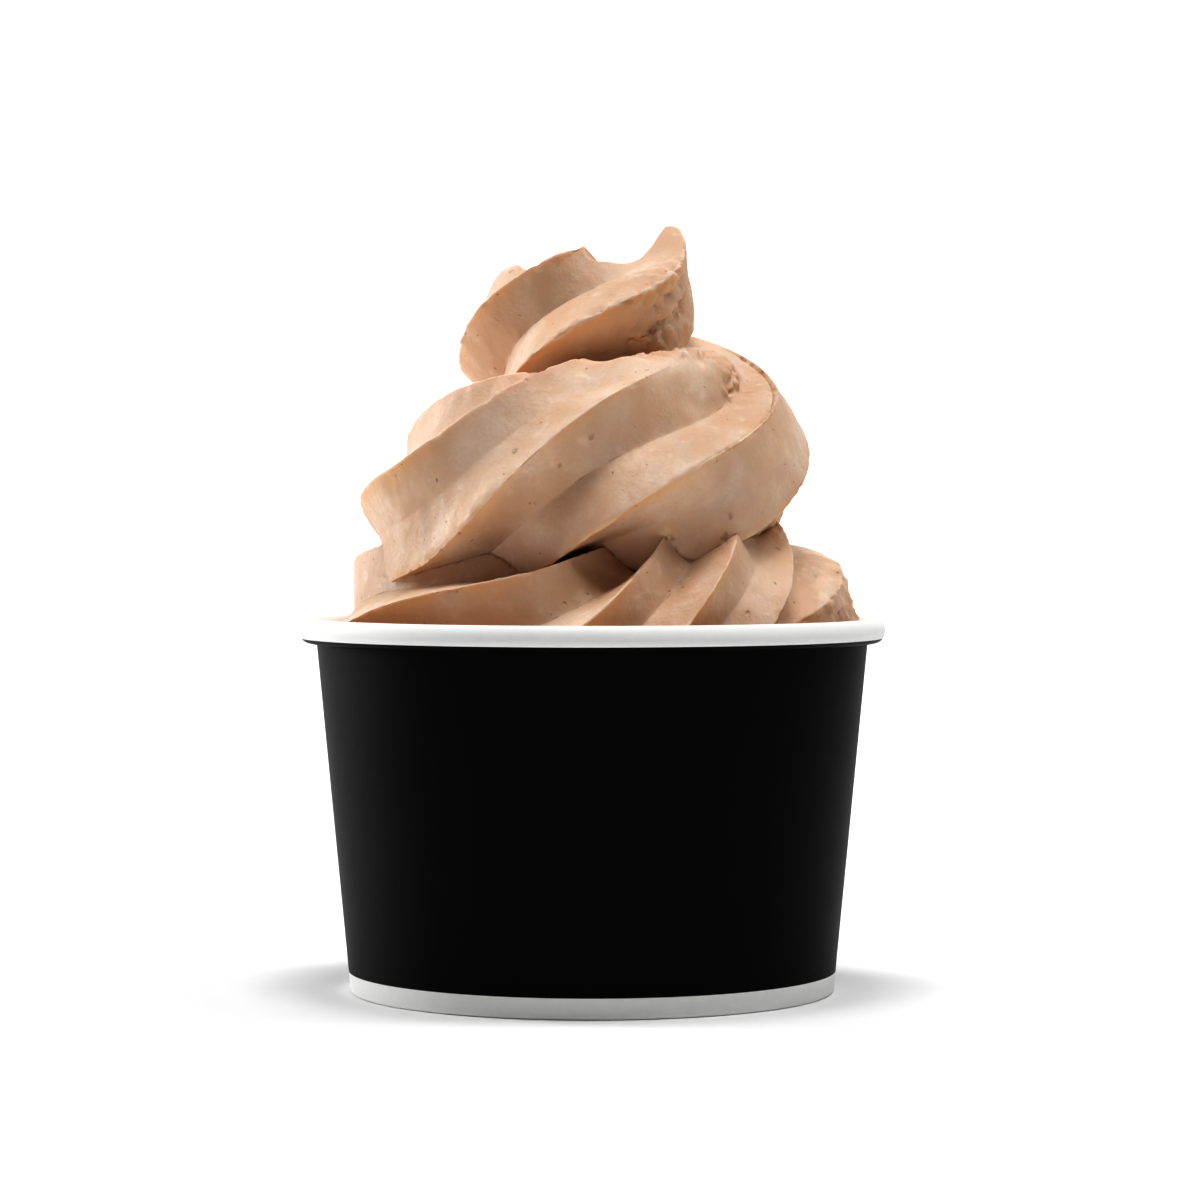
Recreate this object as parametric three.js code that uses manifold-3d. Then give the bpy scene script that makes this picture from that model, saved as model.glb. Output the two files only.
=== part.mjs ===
// A paper dessert cup with a tall swirl of soft serve, standing on its foot.
// Millimetres, +Z up. The origin is the middle of the foot, on the floor.

import * as THREE from 'three';
import { mergeVertices } from 'three/addons/utils/BufferGeometryUtils.js';
import Module from 'manifold-3d';

const wasm = await Module();
wasm.setup();

// ---- Driving dimensions ----------------------------------------------------

const AROUND = 48;              // flats round the cup, a multiple of four
const PAPER = 0.5;              // thickness of the paper board
const GAP = 0.3;                // clearance between pieces that touch

const FOOT_RADIUS = 41.3;       // outside of the wall at the floor
const SHOULDER_RADIUS = 47.0;   // outside of the wall just under the rim
const SHOULDER_HEIGHT = 59.5;
const RIM_RADIUS = 50.0;        // outside of the rolled rim
const RIM_HEIGHT = 61.7;        // middle of the rolled rim
const RIM_HALF_TALL = 2.1;
const RIM_HALF_WIDE = 1.65;
const CURL_END = -120;          // degrees round the roll where its edge stops
const CURL_STEPS = 10;

const HEM_TOP = 5.2;            // the wall's lower edge is folded in and up to here
const HEM_CORNER = 0.35;        // bend of the fold, along the middle of the paper
const BASE_HEIGHT = 6.0;        // middle of the recessed base disc
const BASE_CORNER = 0.8;

const FILL_TOP = 60.0;          // level of the soft serve beside the swirl
const FILL_BEVEL = 2.0;         // its edge slopes down to the wall by this much

const SECTION_POINTS = 24;      // points round the rope, four for each lobe
const LOBES = 6;                // ridges that the star nozzle leaves
const STEP = 6;                 // degrees of turn between two sections
const PIECE_TURN = 144;         // degrees of turn in one piece of the rope
const ROPE_START = -64;         // degrees, anticlockwise from +X seen from above
const ROPE_END = 1088;
const TEAR_START = 976;         // the tear spoils the rope from here on
const TEAR_SLOPE = 44;          // degrees of turn that it takes beside the tip
const TEAR_STEP = 52;           // and that it takes besides on the inner side
const AXIS_CLEARANCE = 1.0;     // the rope's inner side stays this far off the axis
const AXIS_AT_FOOT = 0.2;       // the swirl's axis starts this far along +X,
const AXIS_SHIFT = -1.2;        // goes this far along X in the first turn
const AXIS_DRIFT = 6.0;         // and this far along +Y as the spout is drawn away

const GROOVE_FIRST = 0.08;      // depth of the grooves at the rope's start,
const GROOVE_FULL = 0.32;       // in the first and the middle turn,
const GROOVE_TOP = 0.37;        // in the top turn and at its tip, all as shares
const GROOVE_TIP = 0.25;        // of the girth
const GROOVE_CLIMB = 0.35;      // share lost where the rope climbs to the middle turn,
const RUBBED_LOW = 0.6;         // lost low down on the right of the middle turn
const RUBBED_TOP = 0.92;        // and where the top turn was pressed on it

// The rope of soft serve, as pairs of [degrees of turn, value] joined smoothly.
// Reach is from the swirl's axis to the rope's middle, height is that middle's
// level, girth is its radius, twist turns its ridges, in degrees, and spread
// gathers them on one side, as radians of shift.
const REACH = [
  [-60, 20], [-15, 27.5], [30, 27.9], [180, 29.7], [225, 26.2], [270, 28], [360, 21.4],
  [450, 19.2], [540, 18.9], [630, 20], [720, 20.9], [810, 13.7], [900, 6.4], [1000, 7.6],
  [1088, 8.8],
];
const HEIGHT = [
  [-60, 56.1], [-15, 58.9], [90, 61], [180, 60.9], [225, 60.2], [270, 58.1], [315, 64.7],
  [360, 69.6], [450, 73.6], [540, 80], [630, 87.6], [675, 87], [720, 91.5], [810, 100.3],
  [900, 108.8], [990, 112.6], [1035, 114.6], [1088, 122.2],
];
const GIRTH = [
  [-60, 10], [-15, 17], [30, 17.7], [90, 17.1], [180, 17.5], [225, 17], [270, 17.9],
  [315, 17.2], [360, 15.3], [450, 17.1], [560, 20.3], [630, 19], [675, 18.2],
  [720, 17.5], [810, 19.3], [900, 15.3], [990, 15], [1088, 11.7],
];
const TWIST = [
  [-60, -657], [30, -607], [90, -597], [180, -550], [225, -513], [270, -457],
  [288, -415], [320, -355], [354, -295], [450, -158], [540, -48], [585, -34], [630, 31],
  [720, 127], [810, 220], [900, 252], [990, 304], [1088, 338],
];
const SPREAD = [
  [-60, -0.09], [225, 0.05], [270, -0.02], [315, 0.07], [360, -0.09], [450, -0.31],
  [540, -0.26], [630, 0.11], [720, -0.16], [900, 0.33], [990, 0.31], [1088, 0.45],
];

// Where the rope swells: its turn and how far it goes along the rope, its direction
// round the section and how far it goes round, in degrees, and its share of girth.
const SWELLINGS = [
  { turn: 860, along: 18, side: 60, round: 20, share: 0.30 },  // folded over at the back
  { turn: 858, along: 20, side: 0, round: 24, share: 0.09 },   // hangs over on the left
  { turn: 680, along: 36, side: 98, round: 34, share: 0.22 },  // under the torn end
  { turn: 20, along: 45, side: 40, round: 40, share: 0.09 },   // the rope's start
];

// Grooves that aren't as deep as the others, numbered from the first ridge: the
// turns at which the change starts, is full, fades and ends, and its share of depth.
const ODD_GROOVES = [
  { groove: 0, from: 480, full: 530, fade: 640, to: 690, share: 0.58 },
  { groove: 5, from: 480, full: 530, fade: 620, to: 680, share: 1.15 },
  { groove: 4, from: 645, full: 685, fade: 750, to: 790, share: 0.25 },
  { groove: 1, from: 760, full: 830, fade: 965, to: 1010, share: 1.2 },
  { groove: 1, from: 990, full: 1030, fade: 1100, to: 1200, share: 0.9 },
  { groove: 2, from: 110, full: 170, fade: 240, to: 275, share: 1.2 },
  { groove: 2, from: 800, full: 835, fade: 900, to: 940, share: 0.2 },
];

// The core that the turns close round, as [radius, height] of its level rings: up
// to CORE_BEND it follows the lower axis, and above it the drifted one.
const CORE = [[30, 48], [20, 62], [13, 78], [6, 92], [4, 104], [2.2, 113]];
const CORE_BEND = 100;
const CORE_FLATS = 24;

// ---- Small helpers ---------------------------------------------------------

const rad = THREE.MathUtils.degToRad;
const ease = (value, from, to) => THREE.MathUtils.smoothstep(value, from, to);

// Natural cubic spline through [x, y] pairs. The second derivatives come from
// the usual tridiagonal system, solved by one sweep down and one sweep up.
function smoothCurve(pairs) {
  const xs = pairs.map((pair) => pair[0]);
  const ys = pairs.map((pair) => pair[1]);
  const last = pairs.length - 1;
  const bend = new Array(last + 1).fill(0);
  const carry = new Array(last + 1).fill(0);
  for (let i = 1; i < last; i++) {
    const before = xs[i] - xs[i - 1];
    const after = xs[i + 1] - xs[i];
    const slopes = (ys[i + 1] - ys[i]) / after - (ys[i] - ys[i - 1]) / before;
    const pivot = 2 * (before + after) - before * carry[i - 1];
    carry[i] = after / pivot;
    bend[i] = (6 * slopes - before * bend[i - 1]) / pivot;
  }
  for (let i = last - 1; i > 0; i--) {
    bend[i] -= carry[i] * bend[i + 1];
  }
  return (x) => {
    let i = 0;
    while (i < last - 1 && x >= xs[i + 1]) {
      i += 1;
    }
    const width = xs[i + 1] - xs[i];
    const t = x - xs[i];
    const slope = (ys[i + 1] - ys[i]) / width - width * (2 * bend[i] + bend[i + 1]) / 6;
    const cubic = (bend[i + 1] - bend[i]) / (6 * width);
    return ys[i] + t * (slope + t * (bend[i] / 2 + t * cubic));
  };
}

// A sheet of paper seen edge on: the path of its middle, given thickness. The
// result runs up one side and back down the other, so it encloses the paper.
// Bends are mitred, which keeps every straight run exactly as thick.
function sheetOutline(path) {
  const last = path.length - 1;
  const heading = (i) => path[i + 1].clone().sub(path[i]).normalize();
  const side = (sign) => path.map((point, i) => {
    const arriving = heading(Math.max(i - 1, 0));
    const leaving = heading(Math.min(i, last - 1));
    const along = arriving.clone().add(leaving).normalize();
    const across = new THREE.Vector2(along.y, -along.x);
    return point.clone().addScaledVector(across, sign * PAPER / 2 / along.dot(leaving));
  });
  return [...side(1), ...side(-1).reverse()];
}

function arc(centre, wide, tall, from, to, steps) {
  const points = [];
  for (let i = 0; i <= steps; i++) {
    const angle = rad(from + (to - from) * i / steps);
    const x = centre.x + wide * Math.cos(angle);
    points.push(new THREE.Vector2(x, centre.y + tall * Math.sin(angle)));
  }
  return points;
}

// A turned solid about +Z from its outline in (radius, height).
function turned(outline) {
  const geometry = new THREE.LatheGeometry(outline, AROUND);
  geometry.rotateX(Math.PI / 2);
  return geometry;
}

// ---- Cup -------------------------------------------------------------------

const LEAN = (SHOULDER_RADIUS - FOOT_RADIUS) / SHOULDER_HEIGHT;
const HEM_SPACING = 2 * GAP + 2 * PAPER;    // from the wall's middle to the hem's

// Radius of the middle of the wall's paper at a height.
const wallMiddle = (level) => FOOT_RADIUS - PAPER / 2 + LEAN * level;
const wallPoint = (inward, level) => new THREE.Vector2(wallMiddle(level) - inward, level);

// Radius that the soft serve may reach inside the wall. The flats' middles are
// nearer to the axis than their corners, so a sliver more is left than the gap.
const insideWall = (level) => wallMiddle(level) - PAPER / 2 - GAP - 0.1;

function cupWall() {
  const rollMiddle = RIM_RADIUS - RIM_HALF_WIDE;
  const rollWide = RIM_HALF_WIDE - PAPER / 2;
  const rollTall = RIM_HALF_TALL - PAPER / 2;
  const floor = PAPER / 2 + HEM_CORNER;
  const innerBend = new THREE.Vector2(wallMiddle(floor) - HEM_SPACING + HEM_CORNER, floor);
  const outerBend = new THREE.Vector2(wallMiddle(floor) - HEM_CORNER, floor);
  const roll = new THREE.Vector2(rollMiddle, RIM_HEIGHT);
  const path = [
    wallPoint(HEM_SPACING, HEM_TOP),
    ...arc(innerBend, HEM_CORNER, HEM_CORNER, 180, 270, 2),
    ...arc(outerBend, HEM_CORNER, HEM_CORNER, 270, 360, 2),
    wallPoint(0, SHOULDER_HEIGHT),
    ...arc(roll, rollWide, rollTall, 180, CURL_END, CURL_STEPS),
  ];
  const outline = sheetOutline(path);
  return turned([...outline, outline[0].clone()]);
}

function cupBase() {
  const inward = HEM_SPACING / 2;
  const skirtFoot = PAPER + GAP;
  const bendHeight = BASE_HEIGHT - BASE_CORNER;
  const bend = new THREE.Vector2(wallMiddle(bendHeight) - inward - BASE_CORNER, bendHeight);
  const path = [
    new THREE.Vector2(0, BASE_HEIGHT),
    ...arc(bend, BASE_CORNER, BASE_CORNER, 90, 0, 3),
    wallPoint(inward, skirtFoot),
  ];
  return turned(sheetOutline(path));
}

// ---- Soft serve ------------------------------------------------------------

const reach = smoothCurve(REACH);
const height = smoothCurve(HEIGHT);
const girth = smoothCurve(GIRTH);
const twist = smoothCurve(TWIST);
const spread = smoothCurve(SPREAD);

// The swirl's axis drifts back as the spout is drawn away.
function swirlAxis(turn) {
  const sideways = AXIS_AT_FOOT + AXIS_SHIFT * ease(turn, 180, 450);
  return new THREE.Vector2(sideways, AXIS_DRIFT * ease(turn, 700, 920));
}

// How deep the grooves are, as a share of the girth: shallow where the rope
// starts, deepest at the top, and rubbed soft on the right of the middle turn,
// low down and where the top turn was pressed on it. Single grooves differ.
function grooveDepth(turn, direction, around) {
  const side = THREE.MathUtils.euclideanModulo(direction, 360);
  let depth = GROOVE_FIRST + (GROOVE_FULL - GROOVE_FIRST) * ease(turn, 20, 80);
  depth += (GROOVE_TOP - GROOVE_FULL) * ease(turn, 770, 880);
  depth += (GROOVE_TIP - GROOVE_TOP) * ease(turn, 1050, ROPE_END);
  depth *= 1 - GROOVE_CLIMB * ease(turn, 290, 320) * (1 - ease(turn, 360, 420));
  const lowDown = ease(-Math.sin(rad(direction)), 0.05, 0.6) * ease(turn, 655, 710);
  const onTop = ease(side, 60, 86) * (1 - ease(side, 170, 200)) * ease(turn, 590, 640);
  depth *= 1 - (RUBBED_LOW * lowDown + RUBBED_TOP * onTop) * (1 - ease(turn, 770, 850));
  const groove = Math.floor(THREE.MathUtils.euclideanModulo(around, 360) * LOBES / 360);
  return ODD_GROOVES.reduce((deep, odd) => {
    const there = ease(turn, odd.from, odd.full) * (1 - ease(turn, odd.fade, odd.to));
    return odd.groove === groove ? deep * (1 + (odd.share - 1) * there) : deep;
  }, depth);
}

// Radius of the rope's star as a share of its ridges' radius. From ridge to groove
// the face is straight, which is r = cos(lean) / cos(a - lean) at the angle a.
function starSection(depth, around) {
  const half = Math.PI / LOBES;
  const folded = Math.acos(Math.cos(rad(around) * LOBES)) / LOBES;
  const lean = Math.atan((1 / (1 - depth) - Math.cos(half)) / Math.sin(half));
  return Math.cos(lean) / Math.cos(folded - lean);
}

// Bell curves both along the rope and round it, added up.
function swelling(turn, direction) {
  return SWELLINGS.reduce((total, bulge) => {
    const off = THREE.MathUtils.euclideanModulo(direction - bulge.side + 180, 360) - 180;
    const fade = ((turn - bulge.turn) / bulge.along) ** 2 + (off / bulge.round) ** 2;
    return total + bulge.share * Math.exp(-fade);
  }, 1);
}

// The rope is torn off slantwise: its upper and inner side stops short, in a slope
// beside the tip and then in a step.
function tornBack(direction) {
  const wrapped = THREE.MathUtils.euclideanModulo(direction + 90, 360) - 90;
  const back = TEAR_SLOPE * ease(wrapped, 60, 108) + TEAR_STEP * ease(wrapped, 94, 122);
  return back * (1 - ease(wrapped, 235, 270));
}

// Direction of a point round the section, in degrees from straight outwards.
function sectionDirection(turn, around) {
  const bare = twist(turn) + around;
  return bare + THREE.MathUtils.radToDeg(spread(turn) * Math.sin(rad(bare)));
}

// One point of the rope's skin. Inside, the radius is cut down so that no section
// crosses the swirl's axis, and inside the cup the paper holds it in.
function ropePoint(turn, around) {
  const direction = sectionDirection(turn, around);
  const depth = grooveDepth(turn, direction, around);
  const ridge = starSection(depth, around) * swelling(turn, direction);
  const outer = girth(turn);
  const inner = Math.min(outer, reach(turn) - AXIS_CLEARANCE);
  const outward = Math.cos(rad(direction));
  const radius = reach(turn) + (outward > 0 ? outer : inner) * outward * ridge;
  const level = height(turn) + outer * Math.sin(rad(direction)) * ridge;
  const bearing = rad(turn);
  const spot = new THREE.Vector2(Math.cos(bearing), Math.sin(bearing));
  spot.multiplyScalar(radius).add(swirlAxis(turn));
  if (level < RIM_HEIGHT + RIM_HALF_TALL) {
    spot.clampLength(0, insideWall(level));
  }
  return new THREE.Vector3(spot.x, spot.y, level);
}

// The last sections are pulled back, more on the side where the rope is torn.
function tornTurn(turn, around) {
  if (turn <= TEAR_START) {
    return turn;
  }
  const end = ROPE_END - tornBack(sectionDirection(ROPE_END, around));
  return TEAR_START + (turn - TEAR_START) * (end - TEAR_START) / (ROPE_END - TEAR_START);
}

function ropeSection(turn) {
  const ring = [];
  for (let i = 0; i < SECTION_POINTS; i++) {
    const around = 360 * i / SECTION_POINTS;
    ring.push(ropePoint(tornTurn(turn, around), around));
  }
  return ring;
}

// A closed skin over a row of rings, with a fan of triangles at each end.
function skin(rings) {
  const count = rings[0].length;
  const points = rings.flat();
  const faces = [];
  for (let i = 0; i < rings.length - 1; i++) {
    for (let j = 0; j < count; j++) {
      const a = i * count + j;
      const b = i * count + (j + 1) % count;
      faces.push(a, a + count, b, b, a + count, b + count);
    }
  }
  const middle = (ring) => {
    const sum = ring.reduce((total, point) => total.add(point), new THREE.Vector3());
    return sum.divideScalar(ring.length);
  };
  const first = points.push(middle(rings[0])) - 1;
  const last = points.push(middle(rings.at(-1))) - 1;
  const lastRing = (rings.length - 1) * count;
  for (let j = 0; j < count; j++) {
    const next = (j + 1) % count;
    faces.push(first, j, next, last, lastRing + next, lastRing + j);
  }
  const geometry = new THREE.BufferGeometry().setFromPoints(points);
  geometry.setIndex(faces);
  return geometry;
}

// Stacked level rings, clockwise from above, from [radius, height, x, y] rows.
function stack(rows, points) {
  return skin(rows.map(([radius, level, x, y]) => {
    const ring = [];
    for (let i = 0; i < points; i++) {
      const bearing = -2 * Math.PI * i / points;
      const east = x + radius * Math.cos(bearing);
      ring.push(new THREE.Vector3(east, y + radius * Math.sin(bearing), level));
    }
    return ring;
  }));
}

function solidOf(geometry) {
  const bare = geometry.clone();
  bare.deleteAttribute('normal');
  bare.deleteAttribute('uv');
  const merged = mergeVertices(bare, 1e-4);
  const vertProperties = new Float32Array(merged.attributes.position.array);
  const triVerts = new Uint32Array(merged.index.array);
  return new wasm.Manifold(new wasm.Mesh({ numProp: 3, vertProperties, triVerts }));
}

function geometryOf(solid) {
  const mesh = solid.getMesh();
  const geometry = new THREE.BufferGeometry();
  geometry.setAttribute('position', new THREE.BufferAttribute(mesh.vertProperties, 3));
  geometry.setIndex(new THREE.BufferAttribute(mesh.triVerts, 1));
  geometry.computeVertexNormals();
  return geometry;
}

// The rope, in pieces of under half a turn whose ends match point for point.
function ropePieces() {
  const pieces = [];
  for (let from = ROPE_START; from < ROPE_END; from += PIECE_TURN) {
    const to = Math.min(from + PIECE_TURN, ROPE_END);
    const sections = [];
    for (let turn = from; turn <= to; turn += STEP) {
      sections.push(ropeSection(turn));
    }
    pieces.push(skin(sections));
  }
  return pieces;
}

// What fills the cup under the rope, a clearance short of its paper.
function fill() {
  const foot = BASE_HEIGHT + PAPER / 2 + GAP;
  const rows = [
    [insideWall(foot) - BASE_CORNER, foot, 0, 0],
    [insideWall(foot + BASE_CORNER), foot + BASE_CORNER, 0, 0],
    [insideWall(FILL_TOP - FILL_BEVEL), FILL_TOP - FILL_BEVEL, 0, 0],
    [insideWall(FILL_TOP) - FILL_BEVEL, FILL_TOP, 0, 0],
  ];
  return stack(rows, AROUND);
}

// What the turns close round, so that the swirl is solid to its axis.
function core() {
  const low = swirlAxis(450);
  const high = swirlAxis(ROPE_END);
  const rows = CORE.map(([radius, level]) => {
    const axis = level < CORE_BEND ? low : high;
    return [radius, level, axis.x, axis.y];
  });
  return stack(rows, CORE_FLATS);
}

// All of it is one body: pockets that the turns shut in are filled.
function softServe() {
  const parts = [fill(), core(), ...ropePieces()].map(solidOf);
  const joined = parts.reduce((whole, part) => whole.add(part));
  const shells = joined.decompose();
  return geometryOf(shells.reduce((most, shell) => {
    return shell.volume() > most.volume() ? shell : most;
  }));
}

// ---- Assembly --------------------------------------------------------------

const paper = { color: 0xe6e6e4, roughness: 0.6, metalness: 0 };
const cream = { color: 0xcfa98b, roughness: 0.5, metalness: 0 };

function piece(name, geometry, look) {
  const mesh = new THREE.Mesh(geometry, new THREE.MeshStandardMaterial(look));
  mesh.name = name;
  return mesh;
}

const cup = new THREE.Group();
cup.add(piece('cup_wall', cupWall(), paper));
cup.add(piece('cup_base', cupBase(), paper));
cup.add(piece('soft_serve', softServe(), cream));

export default cup;
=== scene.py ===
"""A paper dessert cup of soft serve: the swirl, the paper that holds it, and its light.

Sizes are in millimetres and degrees. Everything is turned into metres as it is put
into a mesh, about the middle of the cup's foot, with +Z up and the seen side at -Y.
"""
import math

import bmesh
import bpy
import numpy as np
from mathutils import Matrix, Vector


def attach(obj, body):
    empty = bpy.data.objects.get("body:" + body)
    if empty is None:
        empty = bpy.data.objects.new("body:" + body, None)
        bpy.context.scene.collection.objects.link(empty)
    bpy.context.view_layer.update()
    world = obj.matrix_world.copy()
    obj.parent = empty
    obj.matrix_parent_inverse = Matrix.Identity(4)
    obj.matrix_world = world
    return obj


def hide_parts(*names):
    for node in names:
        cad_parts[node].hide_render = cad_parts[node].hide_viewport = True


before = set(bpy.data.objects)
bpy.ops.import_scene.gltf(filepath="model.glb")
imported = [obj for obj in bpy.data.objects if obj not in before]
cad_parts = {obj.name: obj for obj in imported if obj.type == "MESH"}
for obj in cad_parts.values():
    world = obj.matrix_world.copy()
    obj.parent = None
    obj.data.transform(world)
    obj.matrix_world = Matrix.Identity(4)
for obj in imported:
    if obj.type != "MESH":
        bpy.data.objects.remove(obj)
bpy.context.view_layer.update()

MM = 0.001

# ---- Sizes of the cup ------------------------------------------------------

PAPER = 0.5                   # thickness of the paper board
GAP = 0.3                     # clearance between pieces that touch
FOOT_RADIUS = 41.3            # outside of the wall at the floor
SHOULDER_RADIUS = 47.0        # outside of the wall just under the rim
SHOULDER_HEIGHT = 59.5
RIM_RADIUS = 50.0             # outside of the rolled rim
RIM_HEIGHT = 61.7             # middle of the rolled rim
RIM_HALF_TALL = 2.1
RIM_HALF_WIDE = 1.65
CURL_END = -120               # degrees round the roll where its edge stops
HEM_TOP = 5.2                 # the wall's lower edge is folded in and up to here
HEM_CORNER = 0.35
BASE_HEIGHT = 6.0             # middle of the recessed base disc
BASE_CORNER = 0.8
PRINT_FOOT = 3.6              # the black print starts this far up the wall
PRINT_TOP = 60.4              # and ends out of sight inside the roll
SEAM_BEARING = 98             # the wall's glued side seam, degrees from +X
SEAM_WIDTH = 7.0
SEAM_STEP = 0.16              # how far the overlapping edge stands out
SEAM_EDGE = 0.2               # half the width over which it rises
SEAM_RADIUS = 45              # where the seam's width is measured
SEAM_STEPS = (-0.25, 0, 0.25, 8.4, 8.9)    # extra steps, in degrees past the seam
SEAM_FADES = (0.3, 1.0)       # levels over which it grows up from the floor
CUP_FLATS = 256               # steps round the cup
WALL_LEVELS = 14              # rings of corners up its side,
WALL_START = 8                # from this level on
CORNER_STEPS = 5              # steps round the corners at the foot,
ROLL_STEPS = 40               # round the roll of the rim
BASE_BEND_STEPS = 8           # and round the bend of the base
BASE_RING = 20                # radius of a ring of corners in the base disc

# ---- Sizes of the swirl ----------------------------------------------------

LOBES = 6                     # ridges that the star nozzle leaves
ROPE_START = -64              # degrees of turn, anticlockwise from +X
ROPE_END = 1088
TEAR_START = 976              # the tear spoils the rope from here on
PIECE_TURN = 144              # degrees of turn in one piece of the rope
TEAR_SLOPE = 44               # degrees of turn that are torn away on its upper side
TEAR_STEP = 52                # and how many more towards its inner side
AXIS_CLEARANCE = 1.0          # the rope's inner side stays this far off the axis
AXIS_AT_FOOT = 0.2            # the swirl's axis starts this far along +X,
AXIS_SHIFT = -1.2             # moves by this along X on its way to the middle turn
AXIS_DRIFT = 6.0              # and by this along +Y as the spout is drawn away
GROOVE_FIRST = 0.08           # the grooves' depth at the rope's start, over its girth,
GROOVE_GAIN = 0.24            # what they gain in the first turn,
GROOVE_TOP_GAIN = 0.05        # what they gain again as the top turn starts
GROOVE_TIP_LOSS = 0.12        # and what they lose at the tip
GROOVE_CLIMB = 0.35           # share lost where the rope climbs to the middle turn,
RUBBED_LOW = 0.6              # low down on the right of the middle turn
RUBBED_TOP = 0.92             # and where the top turn was pushed down on it
ROPE_STEP = 0.55              # length of a face along the rope
LOBE_STEPS = 34               # faces from one ridge to the next
RIDGE_CROWDING = 0.72         # how much closer together they are at the ridges
RIDGE_BLUNTNESS = 0.004       # 0 leaves the ridges sharp, 1 would flatten them
GROOVE_BLUNTNESS = 0.006      # the same for the bottoms of the grooves
RUBBED_BLUNTNESS = 0.07       # added to the ridges on the right of the middle turn
TEETH = 3.2                   # degrees of turn that the torn edge's teeth stand out
TOOTH_WIDTH = 5.0             # degrees round the section of a small tooth
FINE_TEETH = 0.6              # how far the small ones stand out beside the large ones
FILL_TOP = 60.0               # level of the soft serve beside the swirl
FILL_BEVEL = 2.0
FILL_SIDE_RINGS = 12
FILL_TOP_RINGS = 14
FILL_FLATS = 320
FILL_SHELF = 24               # its top is made this far in, to under the swirl
FILL_CRAGS = 0.7              # how high the crags on its top stand
FILL_CRAG_WIDTH = 6.0
INTO_WALL = 0.1               # the filling reaches this far into the paper
PEAK = 131.6                  # level that the tip stays under
PEAK_EASE = 0.35              # it is held down from this far below
CALM_TIP = (127.5, 130.5)     # levels over which the relief fades out towards it
SWIRL_TRIANGLES = 190000
FINE_TURNS = 4000             # steps in which the rope's length is measured
OUTSIDE = 0.8                 # share of the girth out to where it is measured
BEND_PASSES = 2               # how often the bends are evened out
CREST_BENDS = (0.10, 0.45)    # bends, per mm, at which a crest starts and is full
FOLD_BENDS = (0.08, 0.40)     # the same for the bottom of a groove
GLOW_PASSES = 40              # how far the painted glow spreads from a crest
GLOW_GAIN = 4.0
GLOW_BELOW = (-0.35, 0.25)    # it eases in over these shares of facing down
SHARP_ANGLE = 50              # faces that meet at more than this look sharp

# The rope of soft serve, as pairs of [degrees of turn, value] joined smoothly.
# Reach is from the swirl's axis to the rope's middle, height is that middle's
# level, girth is its radius, twist turns its ridges, in degrees, and spread
# gathers them on one side, as radians of shift.
REACH = [
    (-60, 20), (-15, 27.5), (30, 27.9), (180, 29.7), (225, 26.2), (270, 28), (360, 21.4),
    (450, 19.2), (540, 18.9), (630, 20), (720, 20.9), (810, 13.7), (900, 6.4), (1000, 7.6),
    (1088, 8.8),
]
HEIGHT = [
    (-60, 56.1), (-15, 58.9), (90, 61), (180, 60.9), (225, 60.2), (270, 58.1), (315, 64.7),
    (360, 69.6), (450, 73.6), (540, 80), (630, 87.6), (675, 87), (720, 91.5), (810, 100.3),
    (900, 108.8), (990, 112.6), (1035, 114.6), (1088, 122.2),
]
GIRTH = [
    (-60, 10), (-15, 17), (30, 17.7), (90, 17.1), (180, 17.5), (225, 17), (270, 17.9),
    (315, 17.2), (360, 15.3), (450, 17.1), (560, 20.3), (630, 19), (675, 18.2), (720, 17.5),
    (810, 19.3), (900, 15.3), (990, 15), (1088, 11.7),
]
TWIST = [
    (-60, -657), (30, -607), (90, -597), (180, -550), (225, -513), (270, -457), (288, -415),
    (320, -355), (354, -295), (450, -158), (540, -48), (585, -34), (630, 31), (720, 127),
    (810, 220), (900, 252), (990, 304), (1088, 338),
]
SPREAD = [
    (-60, -0.09), (225, 0.05), (270, -0.02), (315, 0.07), (360, -0.09), (450, -0.31),
    (540, -0.26), (630, 0.11), (720, -0.16), (900, 0.33), (990, 0.31), (1088, 0.45),
]

# Places where the rope swells: the turn it is at and how far it goes along the
# rope, its direction round the section and how far it goes round, all in degrees,
# and how much it adds, as a share of the girth.
SWELLINGS = [
    (860, 18, 60, 20, 0.30),      # folded over at the back of the top turn
    (858, 20, 0, 24, 0.09),       # hangs over on the left of the top turn
    (680, 36, 98, 34, 0.22),      # pushed up under the rope's torn end
    (20, 45, 40, 40, 0.09),       # the rope's start, squeezed out past the first turn
]

# Grooves whose depth differs from the others', numbered from the first ridge: the
# turns at which that starts, is full, fades and ends, and the share of the depth.
ODD_GROOVES = [
    (0, 480, 530, 640, 690, 0.58),        # pushed flat on the front of the middle turn
    (5, 480, 530, 620, 680, 1.15),        # the crisp one beside it
    (4, 645, 685, 750, 790, 0.25),        # rubbed soft on the right of the middle turn
    (1, 760, 830, 965, 1010, 1.2),        # cut deep by the nozzle in the top turn
    (1, 990, 1030, 1100, 1200, 0.9),      # and closed again at its torn end
    (2, 110, 170, 240, 275, 1.2),         # deep on the front of the first turn
    (2, 800, 835, 900, 940, 0.2),         # filled by the fold at the back of the top turn
]

# Spans of turn, in degrees, over which a change of the rope starts or ends.
AXIS_SHIFTS = (180, 450)
AXIS_DRIFTS = (700, 920)
FIRST_GAIN = (20, 80)
TOP_GAIN = (770, 880)
TIP_LOSS = (1050, 1088)
CLIMB_STARTS, CLIMB_ENDS = (290, 320), (360, 420)
RUBBED_LOW_STARTS = (655, 710)
RUBBED_TOP_STARTS = (590, 640)
RUBBED_ENDS = (770, 850)
BLUNT_STARTS, BLUNT_ENDS = (650, 690), (750, 790)
NICKS_GROW = (930, 1010)

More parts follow.
